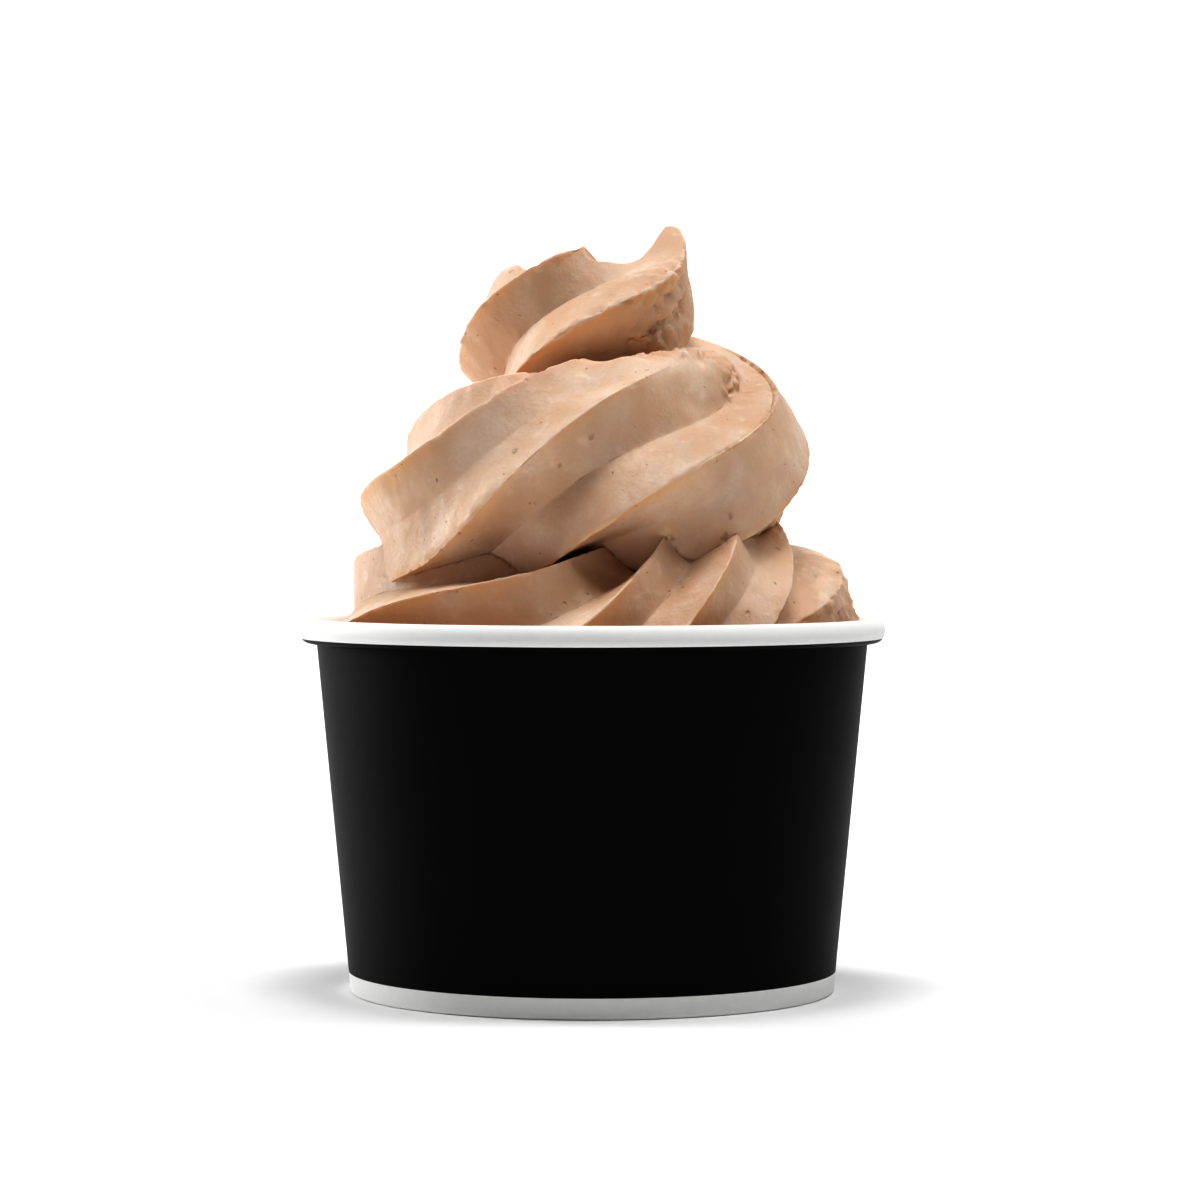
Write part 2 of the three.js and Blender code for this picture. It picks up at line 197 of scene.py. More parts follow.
# Spans of direction round the section, in degrees: 0 is outwards, 90 up.
RUBBED_TOP_FROM, RUBBED_TOP_TO = (60, 86), (170, 200)
SLOPE_FROM, STEP_FROM = (60, 108), (94, 122)
TEETH_FROM = (30, 60)
TEAR_TO = (235, 270)

# Spans of how far a side looks down, or outwards, from -1 to 1.
RUBBED_LOW_SIDES = (0.05, 0.6)
BLUNT_SIDES = (-0.2, 0.4)

# The core that the turns close round, as (radius, height) of its level rings: up
# to CORE_BEND it follows the lower axis, and above it the drifted one.
CORE = [(30, 48), (20, 62), (13, 78), (6, 92), (4, 104), (2.2, 113)]
CORE_BEND = 100
CORE_FLATS = 24

# Swells of the whole surface: height, width and seed.
SWELLS = [(0.28, 9.0, 11), (0.12, 3.2, 12), (0.05, 1.4, 15)]
RIDGE_REACH = 0.10            # nicks reach this share of the way to the groove
NICK_DEPTH = 0.35
NICK_WIDTH = 1.3
WAVER_HEIGHT = 0.12           # how far the ridges waver
WAVER_WIDTH = 3.0
TORN_NICKS = 1.6              # how much more there is of both at the torn end

# The torn end's cap.
CAP_RINGS = 16
CAP_BULGE = 1.2
CAP_CRAGS = 1.3               # how high its crags stand
CAP_CRAG_WIDTH = 3.0

# Places where the surface is torn or lumpy: the middle, how far it reaches, how
# high its lumps stand, and how wide each lump is. ROUGH_CORE is the share of the
# reach over which they stand full.
ROUGH_CORE = 0.45
ROUGH_PLACES = [
    ((13, -12, 109), 10, 1.1, 1.6),      # where the last turn lies on the one under it
    ((16, -6, 117), 12, 0.8, 1.5),       # the torn side of the rope's end
    ((22, -9, 106), 9, 0.7, 1.5),        # crumbs beside it
    ((41, -6, 68), 14, 0.55, 1.8),       # the rope's start, on the right
    ((30, -12, 80), 7, 0.45, 1.6),       # where it meets the middle turn
    ((34, -4, 86), 9, 0.4, 2.2),         # the rubbed flank of the middle turn
]


# ---- Helpers ---------------------------------------------------------------

# Large odd numbers that mix a cell's place and the seed into one height.
MIX_X, MIX_Y, MIX_Z = 73856093, 19349663, 83492791
MIX_SEED = 2654435761
MIX_AGAIN = 1274126177


def ease(value, start, end):
    """Zero before start, one after end, and 3t^2 - 2t^3 between them."""
    t = np.clip((value - start) / (end - start), 0, 1)
    return t * t * (3 - 2 * t)


def smooth_curve(pairs):
    """Natural cubic spline: pieces whose slopes and bends match at each pair."""
    xs, ys = np.array(pairs, float).T
    width = np.diff(xs)
    slope = np.diff(ys) / width
    system = np.eye(len(xs))
    inner = np.arange(1, len(xs) - 1)
    system[inner, inner - 1] = width[:-1]
    system[inner, inner] = 2 * (width[:-1] + width[1:])
    system[inner, inner + 1] = width[1:]
    wanted = np.zeros(len(xs))
    wanted[1:-1] = 6 * np.diff(slope)
    bend = np.linalg.solve(system, wanted)

    def value(x):
        """y + t (slope + t (bend / 2 + t cubic)), with t from the pair before x."""
        i = np.clip(np.searchsorted(xs, x, side="right") - 1, 0, len(width) - 1)
        t = x - xs[i]
        first = slope[i] - width[i] * (2 * bend[i] + bend[i + 1]) / 6
        cubic = (bend[i + 1] - bend[i]) / (6 * width[i])
        return ys[i] + t * (first + t * (bend[i] / 2 + t * cubic))

    return value


def lumps(points, width, seed):
    """Value noise: random heights from -1 to 1 on a lattice of that width, blended
    smoothly between the eight corners of the cell that a point lies in."""
    place = points / width
    cell = np.floor(place).astype(np.int64)
    inside = place - cell
    weight = inside * inside * (3 - 2 * inside)
    total = np.zeros(points.shape[:-1])
    for corner in np.ndindex(2, 2, 2):
        x, y, z = np.moveaxis(cell + np.array(corner), -1, 0)
        mixed = (x * MIX_X) ^ (y * MIX_Y) ^ (z * MIX_Z) ^ (seed * MIX_SEED)
        mixed = (mixed ^ (mixed >> 13)) * MIX_AGAIN
        height = ((mixed ^ (mixed >> 16)) & 0xFFFF) / 32767.5 - 1
        share = np.prod(np.where(corner, weight, 1 - weight), axis=-1)
        total += share * height
    return total


def crags(points, width, seed):
    """Three sizes of lumps added up, each half as wide and about half as high."""
    coarse = lumps(points, width, seed)
    middle = lumps(points, width / 2, seed + 1)
    return coarse + 0.55 * middle + 0.3 * lumps(points, width / 4, seed + 2)


def grid_normals(points):
    """Unit normals of a grid closed in its second direction: the cross product of
    the steps to the neighbours either way."""
    along = np.gradient(points, axis=0)
    across = np.roll(points, -1, axis=1) - np.roll(points, 1, axis=1)
    normal = np.cross(along, across)
    return normal / np.maximum(np.linalg.norm(normal, axis=-1, keepdims=True), 1e-9)


def tube_faces(rings, count):
    """Quads between neighbouring rings of count points, and a fan at each end round
    a middle point. The two middle points follow the rings' points."""
    i = np.arange(rings - 1)[:, None] * count
    j = np.arange(count)[None, :]
    k = (j + 1) % count
    quads = np.stack([i + j, i + count + j, i + count + k, i + k], -1).reshape(-1, 4)
    j, k = j.ravel(), k.ravel()
    first = np.full(count, rings * count)
    last = (rings - 1) * count
    start = np.stack([first, j, k], -1)
    end = np.stack([first + 1, last + k, last + j], -1)
    return quads, np.vstack([start, end])


def piece_from(name, points, quads, triangles=None):
    """A mesh object from points in millimetres and faces as rows of indices."""
    triangles = np.zeros((0, 3), int) if triangles is None else triangles
    mesh = bpy.data.meshes.new(name)
    mesh.vertices.add(len(points))
    mesh.vertices.foreach_set("co", (points * MM).astype(np.float32).ravel())
    corners = np.concatenate([quads.ravel(), triangles.ravel()]).astype(np.int32)
    sizes = np.repeat([4, 3], [len(quads), len(triangles)])
    starts = np.concatenate([[0], np.cumsum(sizes)[:-1]]).astype(np.int32)
    mesh.loops.add(len(corners))
    mesh.loops.foreach_set("vertex_index", corners)
    mesh.polygons.add(len(sizes))
    mesh.polygons.foreach_set("loop_start", starts)
    mesh.polygons.foreach_set("use_smooth", np.full(len(sizes), True))
    mesh.update(calc_edges=True)
    mesh.validate()
    made = bpy.data.objects.new(name, mesh)
    bpy.context.scene.collection.objects.link(made)
    return made


def tube_piece(name, rings):
    """A closed tube from an array of rings, each rings[i] a loop of points."""
    middles = np.stack([rings[0].mean(0), rings[-1].mean(0)])
    points = np.vstack([rings.reshape(-1, 3), middles])
    return piece_from(name, points, *tube_faces(len(rings), rings.shape[1]))


def apply_modifiers(piece):
    """Puts what the modifiers make into the piece's own mesh."""
    graph = bpy.context.evaluated_depsgraph_get()
    made = bpy.data.meshes.new_from_object(piece.evaluated_get(graph))
    piece.modifiers.clear()
    old = piece.data
    piece.data = made
    made.name = old.name
    bpy.data.meshes.remove(old)


# ---- The swirl -------------------------------------------------------------

reach = smooth_curve(REACH)
height = smooth_curve(HEIGHT)
girth = smooth_curve(GIRTH)
twist = smooth_curve(TWIST)
spread = smooth_curve(SPREAD)

LEAN = (SHOULDER_RADIUS - FOOT_RADIUS) / SHOULDER_HEIGHT


def wall_middle(level):
    """Radius of the middle of the wall's paper: a straight line in the height."""
    return FOOT_RADIUS - PAPER / 2 + LEAN * level


def inside_wall(level):
    """Radius that the soft serve is squeezed out to, just into the paper."""
    return wall_middle(level) - PAPER / 2 + INTO_WALL


def swirl_axis(turn):
    """The axis shifts a little to the left low down, and drifts back, along +Y, as
    the spout is drawn away."""
    sideways = AXIS_AT_FOOT + AXIS_SHIFT * ease(turn, *AXIS_SHIFTS)
    return sideways, AXIS_DRIFT * ease(turn, *AXIS_DRIFTS)


def groove_depth(turn, side, around):
    """Depth of the grooves as a share of the girth: shallow at the rope's start,
    deepest at the top, shallower where the rope climbs to the middle turn, and
    rubbed soft on that turn's right, both low down and where the top turn was pushed
    down on it. Single grooves differ."""
    depth = GROOVE_FIRST + GROOVE_GAIN * ease(turn, *FIRST_GAIN)
    depth += GROOVE_TOP_GAIN * ease(turn, *TOP_GAIN)
    depth -= GROOVE_TIP_LOSS * ease(turn, *TIP_LOSS)
    climbs = GROOVE_CLIMB * ease(turn, *CLIMB_STARTS) * (1 - ease(turn, *CLIMB_ENDS))
    depth = depth * (1 - climbs)
    direction = np.degrees(side) % 360
    low_down = RUBBED_LOW * ease(-np.sin(side), *RUBBED_LOW_SIDES)
    low_down = low_down * ease(turn, *RUBBED_LOW_STARTS)
    on_top = RUBBED_TOP * ease(direction, *RUBBED_TOP_FROM) * ease(turn, *RUBBED_TOP_STARTS)
    on_top *= 1 - ease(direction, *RUBBED_TOP_TO)
    depth = depth * (1 - (low_down + on_top) * (1 - ease(turn, *RUBBED_ENDS)))
    groove = np.floor((around % 360) / (360 / LOBES))
    for number, start, full, fading, end, share in ODD_GROOVES:
        there = ease(turn, start, full) * (1 - ease(turn, fading, end))
        depth = np.where(groove == number, depth * (1 + (share - 1) * there), depth)
    return depth


def star_section(depth, around, rubbed):
    """Radius of a star as a share of its ridges' radius. The angle from the nearest
    ridge is folded to and fro, by an arc cosine that is blunted at both ends, and
    the face from ridge to groove is the straight line r = cos(lean) / cos(a - lean)."""
    half = np.pi / LOBES
    wave = np.cos(LOBES * np.radians(around))
    top, bottom = 1 - RIDGE_BLUNTNESS - RUBBED_BLUNTNESS * rubbed, 1 - GROOVE_BLUNTNESS
    folded = np.arccos(wave * (top + bottom) / 2 + (top - bottom) / 2) / np.pi * half
    lean = np.arctan((1 / (1 - depth) - np.cos(half)) / np.sin(half))
    return np.cos(lean) / np.cos(folded - lean)


def ridge_side(turn, around):
    """Direction round the section, in radians: the twist, gathered by a sine."""
    bare = np.radians(twist(turn) + around)
    return bare + spread(turn) * np.sin(bare)


def torn_turn(turn, around):
    """The last sections are pulled back, most on the upper and inner side, and by
    teeth of two sizes from the upper side round to the lower one."""
    side = np.degrees(ridge_side(float(ROPE_END), around))
    wrapped = (side + 90) % 360 - 90
    back = TEAR_SLOPE * ease(wrapped, *SLOPE_FROM) + TEAR_STEP * ease(wrapped, *STEP_FROM)
    back *= 1 - ease(wrapped, *TEAR_TO)
    round_it = np.stack([wrapped, 0 * wrapped, 0 * wrapped], -1)
    teeth = lumps(round_it, 3 * TOOTH_WIDTH, 60)
    teeth += FINE_TEETH * lumps(round_it, TOOTH_WIDTH, 61)
    back += TEETH * (1 + teeth) * ease(wrapped, *TEETH_FROM) * (1 - ease(wrapped, *TEAR_TO))
    share = (turn - TEAR_START) / (ROPE_END - TEAR_START)
    pulled = TEAR_START + share * (ROPE_END - back - TEAR_START)
    return np.where(turn > TEAR_START, pulled, turn)


def swelling(turn, side):
    """Bell curves both along the rope and round it, added up, as shares of the
    girth: where the rope is folded over or pushed up by the turn above it."""
    total = np.ones_like(turn)
    for middle, along, direction, round_it, share in SWELLINGS:
        off = (np.degrees(side) - direction + 180) % 360 - 180
        total += share * np.exp(-((turn - middle) / along) ** 2 - (off / round_it) ** 2)
    return total


def rope_surface(turn, around):
    """A star-shaped rope wound round the axis. Its section is flattened on the
    inside so that it never crosses the axis, and held in by the cup's wall."""
    side = ridge_side(turn, around)
    rubbed = ease(turn, *BLUNT_STARTS) * (1 - ease(turn, *BLUNT_ENDS))
    rubbed = rubbed * ease(np.cos(side), *BLUNT_SIDES)
    depth = groove_depth(turn, side, around)
    ridge = star_section(depth, around, rubbed) * swelling(turn, side)
    outer = girth(turn)
    inner = np.minimum(outer, reach(turn) - AXIS_CLEARANCE)
    outward = np.cos(side)
    radius = reach(turn) + np.where(outward > 0, outer, inner) * outward * ridge
    level = height(turn) + outer * np.sin(side) * ridge
    across, back = swirl_axis(turn)
    x = across + radius * np.cos(np.radians(turn))
    y = back + radius * np.sin(np.radians(turn))
    return hold_in(np.stack([x, y, level], -1))


def hold_in(points):
    """Points under the rim's top are brought back to the inside of the wall."""
    distance = np.hypot(points[..., 0], points[..., 1])
    limit = inside_wall(points[..., 2])
    low = points[..., 2] < RIM_HEIGHT + RIM_HALF_TALL
    squeeze = np.where(low, np.minimum(1, limit / np.maximum(distance, 1e-6)), 1)
    return points * np.stack([squeeze, squeeze, np.ones_like(squeeze)], -1)


def hold_down(points):
    """Levels close to the peak are drawn together along 1 - exp(-t), so that nothing
    stands above it."""
    over = np.maximum(points[..., 2] - (PEAK - PEAK_EASE), 0)
    kept = PEAK_EASE * (1 - np.exp(-over / PEAK_EASE))
    return np.concatenate([points[..., :2], (points[..., 2] - over + kept)[..., None]], -1)


def rope_relief(points, turn, around):
    """How far each point is pushed out: swells, nicks along the ridges that grow
    towards the torn end, and crags in the rough places. All fade out at the tip."""
    swell = sum(tall * lumps(points, width, seed) for tall, width, seed in SWELLS)
    off_ridge = np.abs((around / (360 / LOBES) + 0.5) % 1 - 0.5) * 2
    on_ridge = np.exp(-(off_ridge / RIDGE_REACH) ** 2)
    nicks = np.minimum(0, lumps(points, NICK_WIDTH, 13)) * NICK_DEPTH
    nicks += WAVER_HEIGHT * lumps(points, WAVER_WIDTH, 14)
    nicks *= 1 + TORN_NICKS * ease(turn, *NICKS_GROW)
    total = swell + on_ridge * nicks
    for place, (middle, extent, depth, width) in enumerate(ROUGH_PLACES):
        away = np.linalg.norm(points - np.array(middle), axis=-1)
        there = 1 - ease(away, ROUGH_CORE * extent, extent)
        total += there * depth * crags(points, width, 20 + 3 * place)
    return total * (1 - ease(points[..., 2], *CALM_TIP))


def rope_stations():
    """Turns between sections: even steps in the length that the outside travels."""
    fine = np.linspace(ROPE_START, ROPE_END, FINE_TURNS)
    outside = reach(fine) + OUTSIDE * girth(fine)
    travelled = np.concatenate([[0], np.cumsum(np.radians(np.diff(fine)) * outside[1:])])
    count = int(travelled[-1] / ROPE_STEP)
    return np.interp(np.linspace(0, travelled[-1], count), travelled, fine)


def section_arounds():
    """Places round the section, crowded towards the ridges and the bottoms of the
    grooves by a sine of twice the ridges' number."""
    even = np.arange(LOBES * LOBE_STEPS) / LOBE_STEPS
    crowded = even - RIDGE_CROWDING * np.sin(4 * np.pi * even) / (4 * np.pi)
    return crowded * 360 / LOBES


def torn_cap(rings):
    """The torn end: the last ring drawn in to its middle in steps, with crags."""
    edge = rings[-1]
    middle = edge.mean(0)
    share = np.linspace(0, 1, CAP_RINGS)[1:-1, None, None]
    cap = edge + (middle - edge) * share
    heading = np.mean(rings[-1] - rings[-4], axis=0)
    heading /= np.linalg.norm(heading)
    bulge = CAP_BULGE * np.sin(np.pi * share[..., 0])
    rise = bulge + CAP_CRAGS * share[..., 0] * crags(cap, CAP_CRAG_WIDTH, 50)
    return cap + heading * rise[..., None]


def rope_pieces():
    """The rope cut into pieces of under half a turn, whose ends match."""
    turns = rope_stations()
    turn, around = np.meshgrid(turns, section_arounds(), indexing="ij")
    turn = torn_turn(turn, around)
    rings = rope_surface(turn, around)
    relief = rope_relief(rings, turn, around)
    rings = hold_in(rings + grid_normals(rings) * relief[..., None])
    rings = hold_down(np.concatenate([rings, torn_cap(rings)]))
    cuts = np.searchsorted(turns, np.arange(ROPE_START, ROPE_END, PIECE_TURN)).tolist()
    ends = cuts[1:] + [len(rings) - 1]
    return [
        tube_piece(f"rope_{i}", rings[start:end + 1])
        for i, (start, end) in enumerate(zip(cuts, ends))
    ]


def level_stack(rows, count):
    """Level rings of (radius, height, x, y), clockwise from above."""
    radius, level, x, y = np.array(rows, float).T[:, :, None]
    bearing = -2 * np.pi * np.arange(count)[None, :] / count
    east = x + radius * np.cos(bearing)
    north = y + radius * np.sin(bearing)
    return np.stack([east, north, level + 0 * bearing], -1)


def filling():
    """What fills the cup under the rope, with a lumpy top that meets the wall."""
    foot = BASE_HEIGHT + PAPER / 2 + GAP
    side = np.linspace(foot + BASE_CORNER, FILL_TOP - FILL_BEVEL, FILL_SIDE_RINGS)
    top = np.linspace(0, 1, FILL_TOP_RINGS)
    rows = [(inside_wall(foot) - BASE_CORNER, foot, 0, 0)]
    rows += [(inside_wall(level), level, 0, 0) for level in side]
    edge = inside_wall(FILL_TOP - FILL_BEVEL)
    for t in top[1:]:
        rows.append((edge - FILL_SHELF * t, FILL_TOP - FILL_BEVEL * (1 - t) ** 3, 0, 0))
    rings = level_stack(rows, FILL_FLATS)
    on_top = ease(rings[..., 2], FILL_TOP - FILL_BEVEL, FILL_TOP)
    rings[..., 2] += on_top * FILL_CRAGS * crags(rings, FILL_CRAG_WIDTH, 70)
    return tube_piece("filling", rings)


def swirl_core():
    """What the turns close round, so that the swirl is solid to its axis."""
    low = swirl_axis(450.0)
    high = swirl_axis(float(ROPE_END))
    rows = [
        (radius, level, *(low if level < CORE_BEND else high))
        for radius, level in CORE
    ]
    return tube_piece("core", level_stack(rows, CORE_FLATS))


def largest_shell(piece):
    """Keeps the one connected skin with the most vertices."""
    mesh = piece.data
    edges = np.zeros(len(mesh.edges) * 2, np.int32)
    mesh.edges.foreach_get("vertices", edges)
    a, b = edges.reshape(-1, 2).T
    label = np.arange(len(mesh.vertices))
    while True:
        lowest = np.minimum(label[a], label[b])
        before = label.copy()
        np.minimum.at(label, a, lowest)
        np.minimum.at(label, b, lowest)
        label = label[label]
        if np.array_equal(label, before):
            break
    kept = np.bincount(label).argmax()
    drop = np.flatnonzero(label != kept)
    if len(drop) == 0:
        return
    work = bmesh.new()
    work.from_mesh(mesh)
    work.verts.ensure_lookup_table()
    bmesh.ops.delete(work, geom=[work.verts[i] for i in drop], context="VERTS")
    work.to_mesh(mesh)
    work.free()


def mark_bends(piece):
    """Keeps how sharply the skin bends, as attributes for its material. The bend at a vertex is the
    mean of -(normal . step) / step^2 over the steps to its neighbours, which is one over the
    diameter of the ball that would fit there, and it is evened out over the neighbours. "crest"
    eases from 0 to 1 where it bends outwards and places the painted highlight along the crests,
    "fold" where it bends inwards and places the painted shade in the creases. "glow" is the crest
    spread far over the neighbours, on the side that looks down, and places a painted warm glow that
    stands in for light shining through the ridges."""
    mesh = piece.data
    count = len(mesh.vertices)
    points = np.zeros(count * 3, np.float32)
    mesh.vertices.foreach_get("co", points)
    normals = np.zeros(count * 3, np.float32)
    mesh.vertices.foreach_get("normal", normals)
    ends = np.zeros(len(mesh.edges) * 2, np.int32)
    mesh.edges.foreach_get("vertices", ends)
    points = points.reshape(-1, 3) / MM
    normals = normals.reshape(-1, 3)
    here, there = np.concatenate([ends.reshape(-1, 2), ends.reshape(-1, 2)[:, ::-1]]).T
    neighbours = np.maximum(np.bincount(here, minlength=count), 1)

    def evened(values, passes):
        """Each value turned into the mean of itself and its neighbours' mean."""
        for _ in range(passes):
            around = np.bincount(here, values[there], minlength=count) / neighbours
            values = (values + around) / 2
        return values

    step = points[there] - points[here]
    bend = -np.sum(normals[here] * step, axis=1) / np.sum(step * step, axis=1)
    mean = evened(np.bincount(here, bend, minlength=count) / neighbours, BEND_PASSES)
    crest = ease(mean, *CREST_BENDS)
    # The painted glow: the crests spread out and kept on the side that looks down.
    glow = np.clip(GLOW_GAIN * evened(crest, GLOW_PASSES), 0, 1)
    glow = glow * ease(-normals[:, 2], *GLOW_BELOW)
    for name, values in (("crest", crest), ("fold", ease(-mean, *FOLD_BENDS)), ("glow", glow)):
        kept = mesh.attributes.new(name, "FLOAT", "POINT")
        kept.data.foreach_set("value", values.astype(np.float32))


def make_swirl():
    """Rope, core and filling joined into one skin, then thinned where it is flat."""
    swirl, *others = [filling(), swirl_core(), *rope_pieces()]
    for other in others:
        join = swirl.modifiers.new("join", "BOOLEAN")
        join.operation = "UNION"
        join.solver = "MANIFOLD"
        join.object = other
        apply_modifiers(swirl)
        bpy.data.objects.remove(other)
    largest_shell(swirl)
    swirl.name = swirl.data.name = "swirl"
    swirl.data.calc_loop_triangles()
    ratio = SWIRL_TRIANGLES / len(swirl.data.loop_triangles)
    if ratio < 1:
        thin = swirl.modifiers.new("thin", "DECIMATE")
        thin.ratio = ratio
        apply_modifiers(swirl)
    swirl.data.polygons.foreach_set("use_smooth", np.full(len(swirl.data.polygons), True))
    swirl.data.set_sharp_from_angle(angle=math.radians(SHARP_ANGLE))
    mark_bends(swirl)
    return swirl


# ---- The cup's paper -------------------------------------------------------

def arc(middle, wide, tall, start, end, steps):
    """Points on an ellipse from one angle to another, in even steps."""
    angle = np.radians(np.linspace(start, end, steps + 1))
    return np.stack([middle[0] + wide * np.cos(angle), middle[1] + tall * np.sin(angle)], -1)


def sheet_outline(path):
    """Both faces of a sheet of paper seen edge on. Each point of the middle line is
    moved half a thickness along the mitre of the two runs that meet there."""
    runs = np.diff(path, axis=0)
    runs /= np.linalg.norm(runs, axis=1, keepdims=True)
    arriving = np.vstack([runs[:1], runs])
    leaving = np.vstack([runs, runs[-1:]])
    along = arriving + leaving
    along /= np.linalg.norm(along, axis=1, keepdims=True)
    across = np.stack([along[:, 1], -along[:, 0]], -1)
    across *= PAPER / 2 / np.sum(along * leaving, axis=1, keepdims=True)
    return np.vstack([path + across, (path - across)[::-1]])


def wall_outline():
    """The wall seen edge on: hem, foot, leaning side and the roll of the rim."""
    spacing = 2 * GAP + 2 * PAPER
    floor = PAPER / 2 + HEM_CORNER
    inner = (wall_middle(floor) - spacing + HEM_CORNER, floor)
    outer = (wall_middle(floor) - HEM_CORNER, floor)
    roll = (RIM_RADIUS - RIM_HALF_WIDE, RIM_HEIGHT)
    wide = RIM_HALF_WIDE - PAPER / 2
    tall = RIM_HALF_TALL - PAPER / 2
    levels = np.concatenate([[PRINT_FOOT], np.linspace(WALL_START, SHOULDER_HEIGHT, WALL_LEVELS)])
    path = np.vstack([
        [(wall_middle(HEM_TOP) - spacing, HEM_TOP)],
        arc(inner, HEM_CORNER, HEM_CORNER, 180, 270, CORNER_STEPS),
        arc(outer, HEM_CORNER, HEM_CORNER, 270, 360, CORNER_STEPS),
        np.stack([wall_middle(levels), levels], -1),
        arc(roll, wide, tall, 180, CURL_END, ROLL_STEPS),
    ])
    return sheet_outline(path)


def base_outline():
    """The base seen edge on: the disc, its bend and its skirt, from the axis out."""
    inward = GAP + PAPER
    bend_height = BASE_HEIGHT - BASE_CORNER
    bend = (wall_middle(bend_height) - inward - BASE_CORNER, bend_height)
    path = np.vstack([
        [(0, BASE_HEIGHT), (BASE_RING, BASE_HEIGHT)],
        arc(bend, BASE_CORNER, BASE_CORNER, 90, 0, BASE_BEND_STEPS),
        [(wall_middle(PAPER + GAP) - inward, PAPER + GAP)],
    ])
    return sheet_outline(path)


def turned_wall():
    """The outline turned about +Z and closed on itself. The side seam is a strip
    where the outer face stands out by one step and slopes back at its far side."""
    outline = wall_outline()
    bearing = np.radians(np.arange(CUP_FLATS) * 360 / CUP_FLATS)
    extra = np.radians(SEAM_BEARING + np.array(SEAM_STEPS))
    bearing = np.unique(np.concatenate([bearing, extra]))
    radius, level = np.repeat(outline[:, None, :], len(bearing), axis=1).transpose(2, 0, 1)
    past = (np.degrees(bearing) - SEAM_BEARING) * np.pi / 180 * SEAM_RADIUS
    strip = ease(past, -SEAM_EDGE, SEAM_EDGE)
    strip = strip * (1 - ease(past, SEAM_WIDTH - 2 * SEAM_EDGE, SEAM_WIDTH))
    outside = radius > wall_middle(level)
    on_wall = outside & (level < SHOULDER_HEIGHT)
    radius = radius + on_wall * strip * SEAM_STEP * ease(level, *SEAM_FADES)
    points = np.stack([radius * np.cos(bearing), radius * np.sin(bearing), level], -1)
    n, m = points.shape[:2]
    i = np.arange(n)[:, None]
    j = np.arange(m)[None, :]
    up, on = (i + 1) % n, (j + 1) % m
    quads = np.stack([i * m + j, i * m + on, up * m + on, up * m + j], -1)
    return piece_from("cup_paper_wall", points.reshape(-1, 3), quads.reshape(-1, 4))


def turned_base():
    """The base's outline turned about +Z, with a middle point on each face."""
    outline = base_outline()[1:-1]
    bearing = np.radians(np.arange(CUP_FLATS) * 360 / CUP_FLATS)[None, :]
    radius, level = outline[:, 0, None], outline[:, 1, None]
    rings = np.stack([radius * np.cos(bearing), radius * np.sin(bearing), level + 0 * bearing], -1)
    return tube_piece("cup_paper_base", rings[::-1])


# ---- Materials -------------------------------------------------------------

# Colours are linear. The cream, and what shows in it.
CREAM_DEEP = (0.685, 0.470, 0.330, 1)
CREAM_PALE = (0.790, 0.622, 0.500, 1)
CREAM_MILK = (0.87, 0.745, 0.640, 1)
# Painted warm glow under the crests, standing in for light that shines through them.
CREST_PAINTED_GLOW = (0.78, 0.475, 0.23, 1)
# Painted shade in the bottoms of the grooves.
CREASE_PAINTED_SHADE = (0.34, 0.17, 0.09, 1)
SPECK = (0.20, 0.09, 0.045, 1)
# Painted shade inside the air pits.
PIT_PAINTED_SHADE = (0.35, 0.19, 0.11, 1)

# Paper, print and floor vary between two colours each.
PAPER_TONES = ((0.88, 0.88, 0.872, 1), (0.92, 0.92, 0.915, 1))
PRINT_TONES = ((0.011, 0.011, 0.011, 1), (0.013, 0.013, 0.013, 1))
FLOOR_TONES = ((0.90, 0.90, 0.90, 1), (0.92, 0.92, 0.92, 1))

# Scales of the cream's patterns, in cells per metre.
CLOUD_SCALE = 75.0
PATCH_SCALE = 330.0
GRAIN_SCALE = 1500.0
WANDER_SCALE = 900.0
SPECK_SCALE = 520.0
PIT_SCALE = 300.0
WANDER = 0.0011               # metres that specks and pits are bent out of round

# Spans of a pattern over which its colour comes in, specks' and pits' as distances
# from the middles of their cells, and the shares of cells that have none.
CLOUD_SPAN = (0.34, 0.68)
MILK_SPAN = (0.58, 0.74)
DEEP_SPAN = (0.42, 0.28)
GRAIN_SPAN = (0.38, 0.66)
# The creases' painted shade comes in over the next two spans.
CREASE_SHADE_BREAKS = (0.35, 0.65, -0.7, 0.1)
CREASE_SHADE_SPAN = (0.1, 0.9)
SPECK_SPAN = (0.17, 0.07)
PIT_SPAN = (0.20, 0.06)
SPECK_FREE = 0.80
PIT_FREE = 0.88

# The cream's relief, wetness and scatter. Heights and depth are in metres.
PATCH_RELIEF = 0.9
GRAIN_RELIEF = 0.30
PIT_RELIEF = 0.8
RELIEF_STRENGTH = 0.8
RELIEF_HEIGHT = 0.0003
GRAIN_ROUGHNESS = (0.3, 0.7, 0.44, 0.60)
SCATTER_SHARE = 0.35
SCATTER_DEPTH = 0.0018
SCATTER_COLOURS = (1.0, 0.42, 0.22)
CREAM_IOR = 1.38

# The most that each colour covers what is under it.
PATCH_SHARE = 0.35
GRAIN_SHARE = 0.22
# Share of the painted glow.
PAINTED_GLOW_SHARE = 0.75
# Share of the painted highlight along the crests.
CREST_HIGHLIGHT_SHARE = 0.45
# Share of the painted shade in the creases.
CREASE_SHADE_SHARE = 0.45
SPECK_SHARE = 0.5
# Share of the painted shade in the pits.
PIT_SHADE_SHARE = 0.35

# Scales of the paper's patterns, half the blur of the print's lower edge, relief
# and shine.
FIBRE_SCALE = 900.0
WAVE_SCALE = 60.0
PRINT_BLUR = 0.06
PAPER_RELIEF = 0.25
PAPER_RELIEF_HEIGHT = 0.0001
PAPER_ROUGHNESS = 0.5
PAPER_IOR = 1.45
PAPER_SHINE = 0.45
PRINT_SHINE = 0.12

FLOOR_SCALE = 6.0
FLOOR_ROUGHNESS = 0.8


